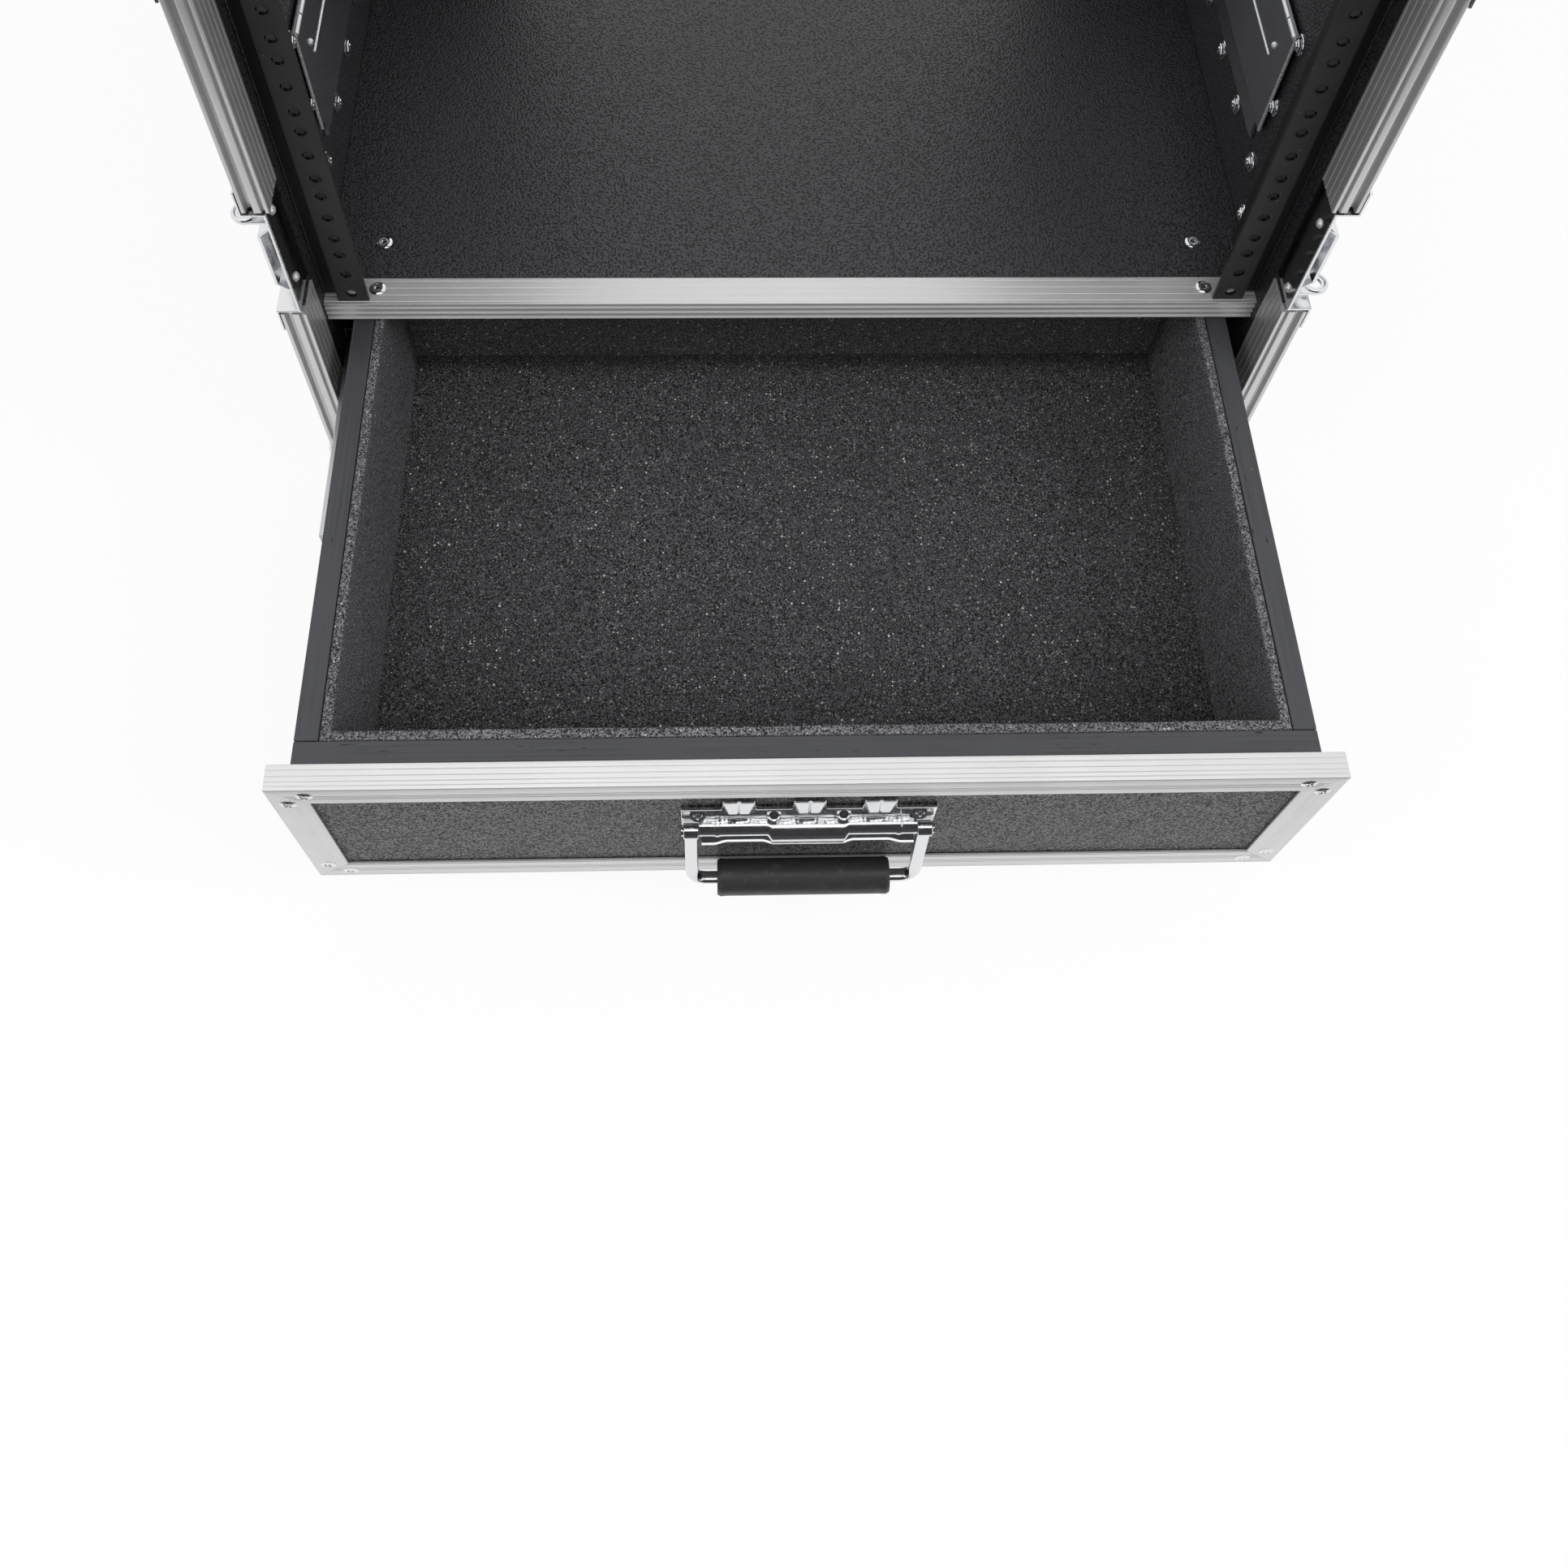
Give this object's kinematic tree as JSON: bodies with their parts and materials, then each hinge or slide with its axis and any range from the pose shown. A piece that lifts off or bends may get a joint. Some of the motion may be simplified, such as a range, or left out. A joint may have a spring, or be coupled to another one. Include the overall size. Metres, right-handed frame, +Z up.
{
  "type": "road case with rack bay and drawer",
  "caption": "Road case: aluminium-edged laminated plywood body with an open 19 inch rack bay above a foam-lined drawer that slides on runners, with hinged handles.",
  "frame": {"origin": "centre of the case body's underside, on the bottom panel's lower face; the open drawer and the corners are left out of that centre", "axes": "+X to the right seen from the front, -Y out of the open front, +Z up"},
  "size_m": [0.5376, 0.6268, 0.4567],
  "materials": {
    "laminate": "black pebble-grain laminate on plywood, satin",
    "aluminium": "ribbed anodised aluminium, satin",
    "zinc": "bright zinc-plated steel",
    "rail_coat": "dark textured powder coat",
    "batten": "black-stained wood",
    "board": "dark grey painted plywood",
    "foam": "black closed-cell foam with fine pale specks",
    "grip_rubber": "matt black rubber",
    "runner_steel": "zinc-plated drawer runner steel"
  },
  "bodies": {
    "case": {"side_panel_left": "laminate", "side_panel_right": "laminate", "bottom_panel": "laminate", "top_panel": "laminate", "back_panel": "laminate", "shelf_panel": "laminate", "front_extrusion_left_lower": "aluminium", "front_extrusion_left_upper": "aluminium", "front_extrusion_right_lower": "aluminium", "front_extrusion_right_upper": "aluminium", "front_extrusion_bottom": "aluminium", "front_extrusion_top": "aluminium", "shelf_edge_strip": "aluminium", "back_edge_frame": "aluminium", "edge_angle_bottom_left": "aluminium", "edge_angle_bottom_right": "aluminium", "edge_angle_top_left": "aluminium", "edge_angle_top_right": "aluminium", "corner_front_bottom_left": "zinc", "corner_front_bottom_right": "zinc", "corner_front_top_left": "zinc", "corner_front_top_right": "zinc", "corner_back_bottom_left": "zinc", "corner_back_bottom_right": "zinc", "corner_back_top_left": "zinc", "corner_back_top_right": "zinc", "rack_rail_left": "rail_coat", "rack_rail_right": "rail_coat", "rail_batten_left": "batten", "rail_batten_right": "batten", "latch_keeper_left": "zinc", "latch_keeper_right": "zinc", "handle_dish_left": "zinc", "handle_dish_right": "zinc", "cabinet_runner_left": "runner_steel", "cabinet_runner_right": "runner_steel"},
    "drawer": {"drawer_front_board": "board", "drawer_back": "board", "drawer_side_left": "board", "drawer_side_right": "board", "drawer_bottom": "board", "foam_floor": "foam", "foam_walls": "foam", "drawer_front_panel": "laminate", "drawer_frame_left": "aluminium", "drawer_frame_right": "aluminium", "drawer_frame_bottom": "aluminium", "drawer_frame_top": "aluminium", "drawer_handle_plate": "zinc", "drawer_runner_left": "runner_steel", "drawer_runner_right": "runner_steel"},
    "runner_left": {"intermediate_runner_left": "runner_steel"},
    "runner_right": {"intermediate_runner_right": "runner_steel"},
    "drawer_handle": {"drawer_handle_bail": "zinc", "drawer_handle_grip": "grip_rubber"},
    "side_handle_left": {"side_handle_bail_left": "zinc", "side_handle_grip_left": "grip_rubber"},
    "side_handle_right": {"side_handle_bail_right": "zinc", "side_handle_grip_right": "grip_rubber"}
  },
  "joints": [
    {"name": "drawer_slide", "type": "slide", "parent": "case", "child": "drawer", "axis": [0, 1, 0], "range_m": [0, 0.2607]},
    {"name": "runner_slide_left", "type": "slide", "parent": "case", "child": "runner_left", "axis": [0, 1, 0], "range_m": [0, 0.13035]},
    {"name": "runner_slide_right", "type": "slide", "parent": "case", "child": "runner_right", "axis": [0, 1, 0], "range_m": [0, 0.13035]},
    {"name": "drawer_handle_hinge", "type": "hinge", "parent": "drawer", "child": "drawer_handle", "pos_m": [0, -0.4201, 0.0877], "axis": [-1, 0, 0], "range_deg": [0, 95]},
    {"name": "side_handle_hinge_left", "type": "hinge", "parent": "case", "child": "side_handle_left", "pos_m": [-0.2537, 0, 0.24995], "axis": [0, 1, 0], "range_deg": [0, 92]},
    {"name": "side_handle_hinge_right", "type": "hinge", "parent": "case", "child": "side_handle_right", "pos_m": [0.2537, 0, 0.24995], "axis": [0, -1, 0], "range_deg": [0, 92]}
  ],
  "couplings": [
    {"joint": "runner_slide_left", "follows": "drawer_slide", "ratio": 0.5},
    {"joint": "runner_slide_right", "follows": "drawer_slide", "ratio": 0.5}
  ]
}
